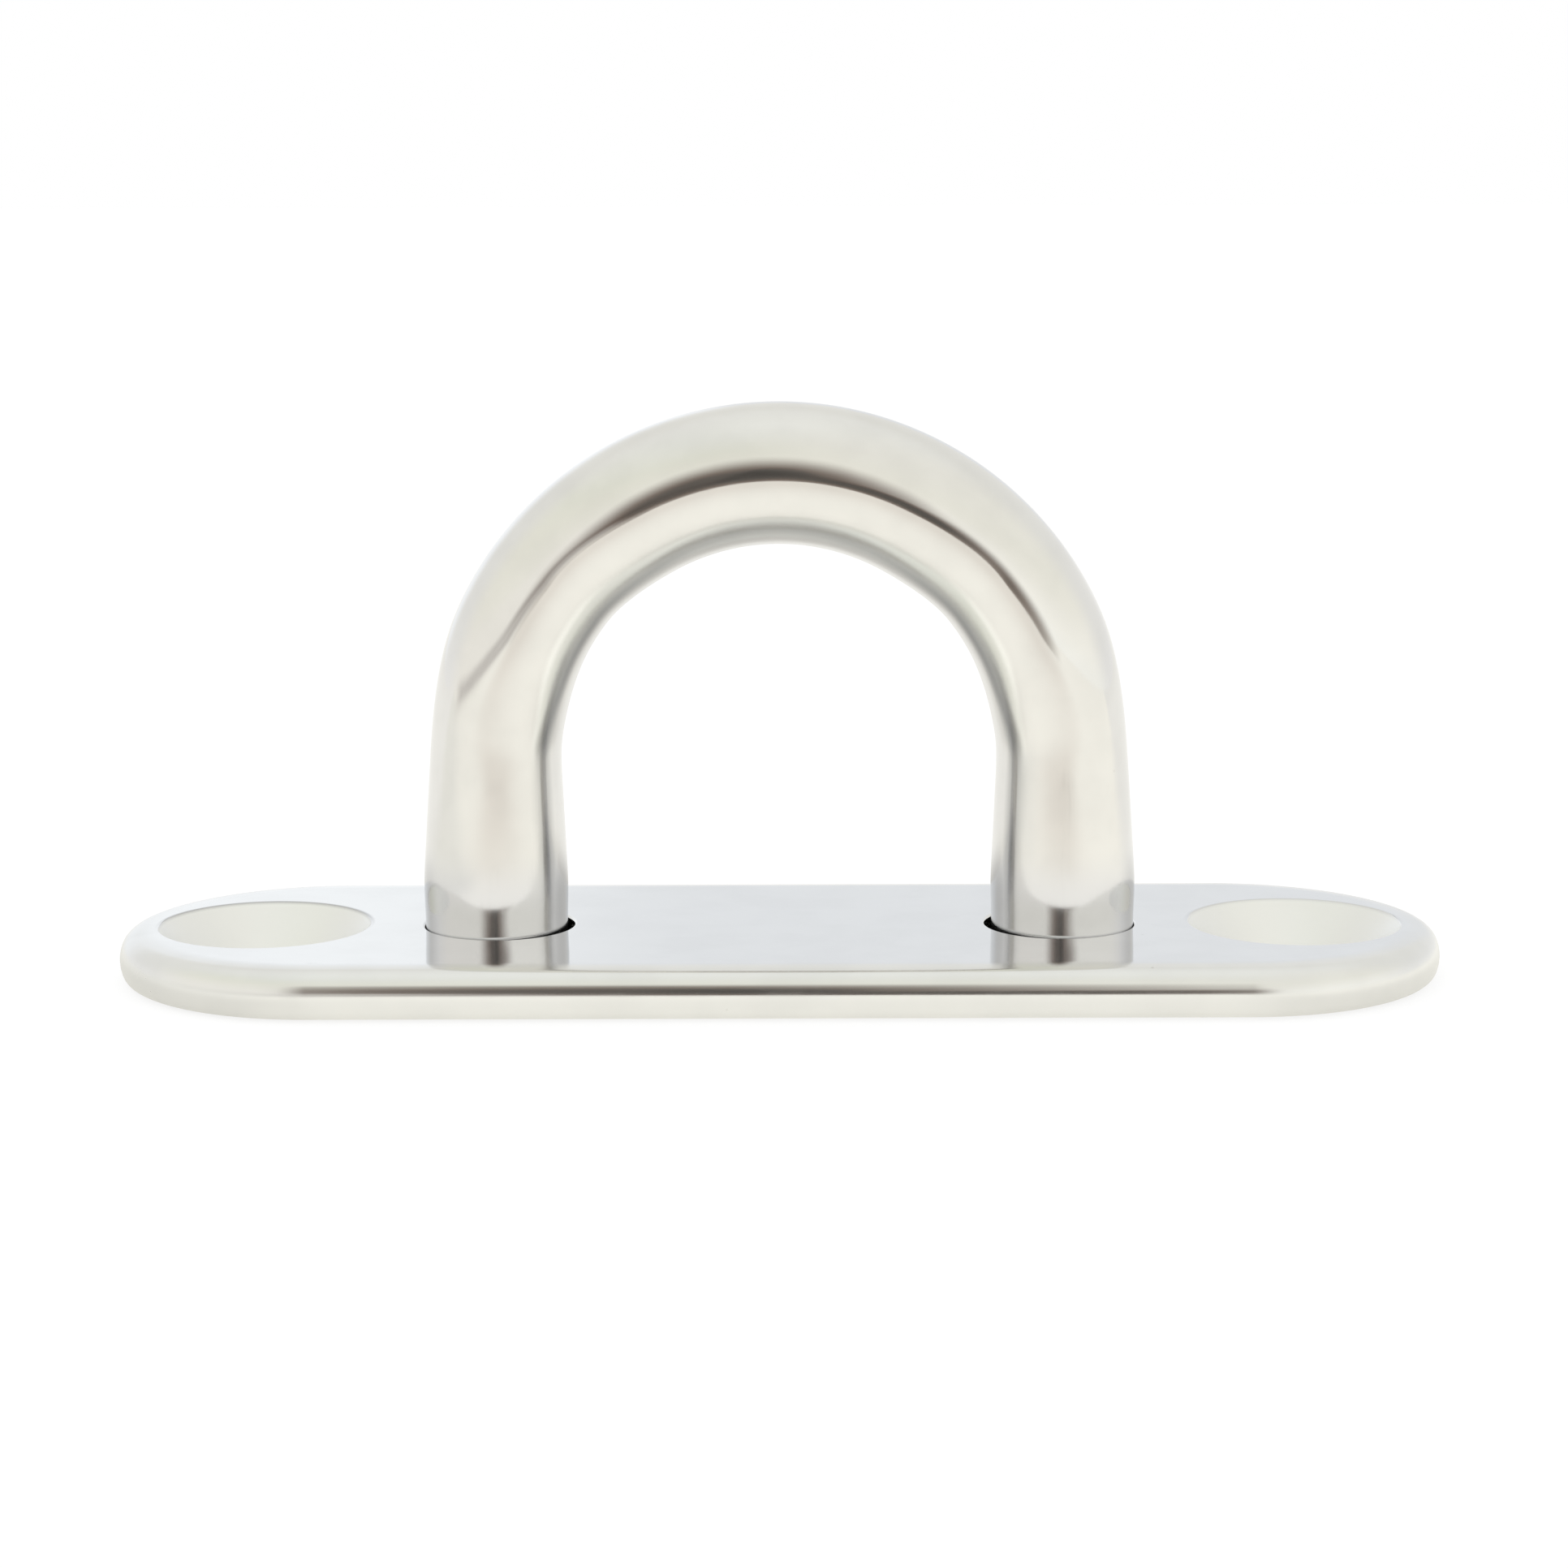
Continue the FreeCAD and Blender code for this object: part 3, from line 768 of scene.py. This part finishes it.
def tent_world(studio):
    """The tent: white to the camera, even for plain light, and softly shaded where the steel mirrors it."""
    world = bpy.data.worlds.new("white_tent")
    world.use_nodes = True
    world.node_tree.nodes.clear()
    bench = Bench(world.node_tree)
    x, y, z = bench.parts(bench.add("ShaderNodeTexCoord", out="Generated"))
    azimuth = x.maths("ARCTAN2", y * -1.0) * (180 / math.pi)
    elevation = z.maths("ARCSINE") * (180 / math.pi)
    height = elevation / 90.0

    left = {"stops": [
        (0.0, (1.01, 0.99, 0.93)), (0.133, (1.00, 0.982, 0.92)), (0.2, (0.97, 0.96, 0.88)),
        (0.39, (0.925, 0.924, 0.83)), (0.5, (0.905, 0.915, 0.82)), (0.75, (0.93, 0.943, 0.89)),
        (1.0, (0.985, 0.995, 0.955)),
    ]}
    right = {"stops": [
        (0.0, (1.11, 1.115, 1.06)), (0.083, (1.08, 1.07, 1.0)), (0.133, (1.04, 1.03, 0.96)),
        (0.2, (1.0, 0.99, 0.91)), (0.29, (0.97, 0.963, 0.882)), (0.6, (0.96, 0.953, 0.89)),
        (1.0, (0.985, 0.995, 0.955)),
    ]}
    back = {"stops": [
        (0.0, (0.98, 0.98, 0.97)), (0.09, (0.93, 0.93, 0.91)), (0.16, (0.91, 0.91, 0.89)),
        (0.27, (0.90, 0.90, 0.87)), (0.5, (0.89, 0.89, 0.85)), (0.68, (0.94, 0.945, 0.91)),
        (1.0, (0.985, 0.995, 0.955)),
    ]}
    left, right, back = (bench.add("ShaderNodeValToRGB", stops, [height]) for stops in (left, right, back))
    front = bench.blend(bench.ease(x, -0.3, 0.35), left, right)
    tent = bench.blend(bench.ease(y, -0.25, 0.45), front, back)

    patch = bench.ease(y, 0.86, 0.94) * bench.ease(elevation, 3.0, 8.0)
    patch = patch * bench.ease(elevation, 16.0, 26.0, 1.0, 0.0)
    tent = bench.blend(patch, tent, studio.low_patch)
    left_glow = bench.ease(x, -0.02, -0.13) * bench.ease(y, 0.6, 0.9) * bench.hill(elevation, 8.0, 30.0)
    tent = bench.blend(left_glow, tent, studio.left_glow)
    line = bench.hill(elevation - bench.ramp(azimuth, -70.0, -20.0, -1.6, 1.4), 0.0, 4.2)
    line = line * bench.ease(azimuth, -90.0, -76.0)
    line = line * bench.ease(azimuth, 0.0, 12.0, 1.0, 0.0)
    tent = bench.blend(line, tent, studio.horizon)

    seen = bench.add("ShaderNodeLightPath", out="Is Camera Ray")
    through = bench.add("ShaderNodeLightPath", out="Is Transmission Ray")
    mirrored = bench.add("ShaderNodeLightPath", out="Is Glossy Ray").maths("MAXIMUM", through)
    light = bench.blend(mirrored, (0.97, 0.97, 0.97), tent)
    light = bench.blend(seen, light, (1.0, 1.0, 1.0))
    sky = bench.add("ShaderNodeBackground", {}, {"Color": light, "Strength": 1.0})
    bench.add("ShaderNodeOutputWorld", {}, {"Surface": sky})
    bpy.context.scene.world = world


def stage_square(name, corners, material):
    """A stage piece of one four-sided face."""
    mesh = bpy.data.meshes.new(name)
    mesh.from_pydata(corners, [], [(0, 1, 2, 3)])
    mesh.materials.append(material)
    obj = bpy.data.objects.new(name, mesh)
    bpy.context.scene.collection.objects.link(obj)
    return obj


def lay_floor(studio):
    """The floor: white to the camera with the plate's soft shadow, clear from beneath, and with painted shade
    where mirrored.
    """
    material, bench, output = new_material("white_floor")
    place = place_in_mm(bench)
    x, y, _ = bench.parts(place)
    seen = bench.add("ShaderNodeLightPath", out="Is Camera Ray")
    side = bench.ease(x, -60.0, 60.0, 0.0, 0.7)
    mirrored = bench.blend(side, studio.front_floor, studio.near_floor)
    mirrored = bench.blend(bench.ease(y, -55.0, -15.0), mirrored, studio.near_floor)
    left = bench.ease(x, -23.0, -42.0) * bench.ease(y, -70.0, -25.0)
    mirrored = bench.blend(left, mirrored, studio.left_floor)
    # Painted shade of the camera on the floor before the plate, as the steel mirrors it.
    shaded = bench.ease(abs(x + 4.0), 16.0, 78.0, 1.0, 0.0) * bench.ease(y, -25.0, -95.0)
    mirrored = bench.blend(shaded, mirrored, studio.shaded_floor)
    azimuth = x.maths("ARCTAN2", y * -1.0) * (180 / math.pi)
    far = bench.ease((x * x + y * y).maths("SQRT"), 160.0, 420.0) * bench.ease(x, 0.0, -60.0)
    far = far * bench.ease(azimuth, -88.0, -72.0)
    mirrored = bench.blend(far, mirrored, studio.horizon)
    mirrored = bench.blend(bench.ease(y, 0.0, 30.0), mirrored, studio.back_floor)
    # Painted shade of the plate on the floor behind it, as the steel mirrors it.
    behind = bench.ease(y, 4.0, 9.0) * bench.ease(y, 13.0, 29.0, 1.0, 0.0)
    behind = behind * bench.ease(abs(x), 12.0, 30.0, 1.0, 0.0)
    mirrored = bench.blend(behind, mirrored, studio.close_floor)
    end = (PLATE_HIGH.x - PLATE_HIGH.y) / MM
    beyond = (abs(x) - end).maths("MAXIMUM", 0.0)
    off_plate = (beyond * beyond + y * y).maths("SQRT") - PLATE_HIGH.y / MM
    # Painted contact shade round the plate's outline, stronger at the two ends, as the steel mirrors the
    # floor.
    contact = bench.ease(x, -18.0, -25.0) * 0.13 + bench.ease(x, 18.0, 26.0) * 0.1 + 0.04
    mirrored = bench.tinted(mirrored, 1.0 - contact * bench.ease(off_plate, 1.0, 9.0, 1.0, 0.0))
    lifted = bench.blend(seen, bench.tinted(mirrored, 0.7), (0.78, 0.78, 0.78))
    matt = bench.blend(seen, bench.tinted(mirrored, 0.3), (0.25, 0.25, 0.25))
    glow = bench.add("ShaderNodeEmission", {}, {"Color": lifted, "Strength": 1.0})
    lit = bench.add("ShaderNodeBsdfDiffuse", {}, {"Color": matt})
    paper = bench.add("ShaderNodeAddShader", {}, [glow, lit])
    clear = bench.add("ShaderNodeBsdfTransparent")
    beneath = bench.add("ShaderNodeNewGeometry", out="Backfacing")
    bench.feed(output.inputs["Surface"], bench.add("ShaderNodeMixShader", {}, [beneath, paper, clear]))
    span, level = 1.5, -0.02 * MM
    corners = [(-span, -span, level), (span, -span, level), (span, span, level), (-span, span, level)]
    stage_square("floor", corners, material)


def soft_oval(bench, x, z, centre, reach, soft):
    """1 in the middle of an oval, a half on its line and 0 beyond it."""
    across = (x - centre[0]) / reach[0]
    up = (z - centre[1]) / reach[1]
    far = (across * across + up * up).maths("SQRT")
    return bench.ease(far, 1.0 - soft, 1.0 + soft, 1.0, 0.0)


def stand_card(studio):
    """The dark camera side, which only the steel's reflections show."""
    material, bench, output = new_material("dark_camera_side")
    x, _, z = bench.parts(place_in_mm(bench))
    wide, tall = studio.card_width / MM / 2, studio.card_height / MM / 2
    tower = soft_oval(bench, x, z, (-12.5, 33.0), (wide, tall), 0.8)
    tower = tower * bench.ease(z - (abs(x + 1.0) * 0.7 - 6.0).maths("MINIMUM", 17.0), -12.0, 10.0)
    table = soft_oval(bench, x, z, (18.0, 16.5), (45.0, 22.5), 0.75) * 0.965
    core = soft_oval(bench, x, z, (-1.5, 33.0), (14.0, 48.0), 0.5)
    cover = (tower * 0.945).maths("MAXIMUM", table).maths("MAXIMUM", core * tower)
    colour = bench.blend(bench.ease(cover, 0.8, 1.0), studio.brown, studio.dark)
    dark = bench.add("ShaderNodeEmission", {}, {"Color": colour, "Strength": 1.0})
    clear = bench.add("ShaderNodeBsdfTransparent")
    bench.feed(output.inputs["Surface"], bench.add("ShaderNodeMixShader", {}, [cover, clear, dark]))
    side, back, high = 0.1, -0.162, 0.125
    corners = [(-side, back, 0.0), (side, back, 0.0), (side, back, high), (-side, back, high)]
    card = stage_square("camera_side", corners, material)
    card.visible_camera = False
    card.visible_diffuse = False
    card.visible_shadow = False
    card.visible_transmission = False


def hang_lamp():
    """One wide soft lamp above, which gives the floor shadow its direction and isn't mirrored."""
    data = bpy.data.lights.new("soft_lamp", "AREA")
    data.shape = "SQUARE"
    data.size = 0.5
    data.energy = 0.25
    lamp = bpy.data.objects.new("soft_lamp", data)
    lamp.location = (-0.12, -0.1, 0.5)
    lamp.rotation_euler = (-lamp.location).to_track_quat("-Z", "Y").to_euler()
    lamp.visible_glossy = False
    bpy.context.scene.collection.objects.link(lamp)


# Operators and panel


class MakePlate(bpy.types.Operator):
    """Build the polished base plate."""

    bl_idname = "eyeplate.make_plate"
    bl_label = "Make Plate"

    def execute(self, context):
        look = context.scene.eye_plate
        plate = draw_plate(look.plate, plate_steel(look.finish, look.plate))
        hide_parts("base_plate")
        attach(plate, "root")
        return {"FINISHED"}


class MakeBow(bpy.types.Operator):
    """Build the bow of bent round bar."""

    bl_idname = "eyeplate.make_bow"
    bl_label = "Make Bow"

    def execute(self, context):
        look = context.scene.eye_plate
        bow = draw_bow(look.bow, bar_steel(look.finish, look.bow))
        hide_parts("bow")
        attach(bow, "root")
        return {"FINISHED"}


class FinishWelds(bpy.types.Operator):
    """Give the two welds their ground finish."""

    bl_idname = "eyeplate.finish_welds"
    bl_label = "Finish Welds"

    def execute(self, context):
        look = context.scene.eye_plate
        material = weld_steel(look.finish, look.bow)
        for name in WELDS:
            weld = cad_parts[name]
            weld.data.materials.clear()
            weld.data.materials.append(material)
        return {"FINISHED"}


class SetStudio(bpy.types.Operator):
    """Set up the camera, the tent, the floor and the lamp."""

    bl_idname = "eyeplate.set_studio"
    bl_label = "Set Studio"

    def execute(self, context):
        studio = context.scene.eye_plate.studio
        context.scene.view_settings.view_transform = "Standard"
        aim_camera(studio)
        tent_world(studio)
        lay_floor(studio)
        stand_card(studio)
        hang_lamp()
        return {"FINISHED"}


class EyePlatePanel(bpy.types.Panel):
    """The eye plate's pieces and settings in the sidebar."""

    bl_idname = "VIEW3D_PT_eye_plate"
    bl_label = "Eye Plate"
    bl_space_type = "VIEW_3D"
    bl_region_type = "UI"
    bl_category = "Eye Plate"

    def draw(self, context):
        look = context.scene.eye_plate
        groups = (look.plate, look.bow, look.finish, look.studio)
        for operator, settings in zip(OPERATORS, groups):
            box = self.layout.box()
            for name in settings.__annotations__:
                box.prop(settings, name)
            box.operator(operator.bl_idname)


GROUPS = (PlateSizes, BowSizes, MetalFinish, StudioLook, EyePlate)
OPERATORS = (MakePlate, MakeBow, FinishWelds, SetStudio)


def register():
    for item in (*GROUPS, *OPERATORS, EyePlatePanel):
        bpy.utils.register_class(item)
    bpy.types.Scene.eye_plate = PointerProperty(type=EyePlate)


def unregister():
    del bpy.types.Scene.eye_plate
    for item in reversed((*GROUPS, *OPERATORS, EyePlatePanel)):
        bpy.utils.unregister_class(item)


def main():
    register()
    bpy.ops.eyeplate.make_plate()
    bpy.ops.eyeplate.make_bow()
    bpy.ops.eyeplate.finish_welds()
    bpy.ops.eyeplate.set_studio()


if __name__ == "__main__":
    main()
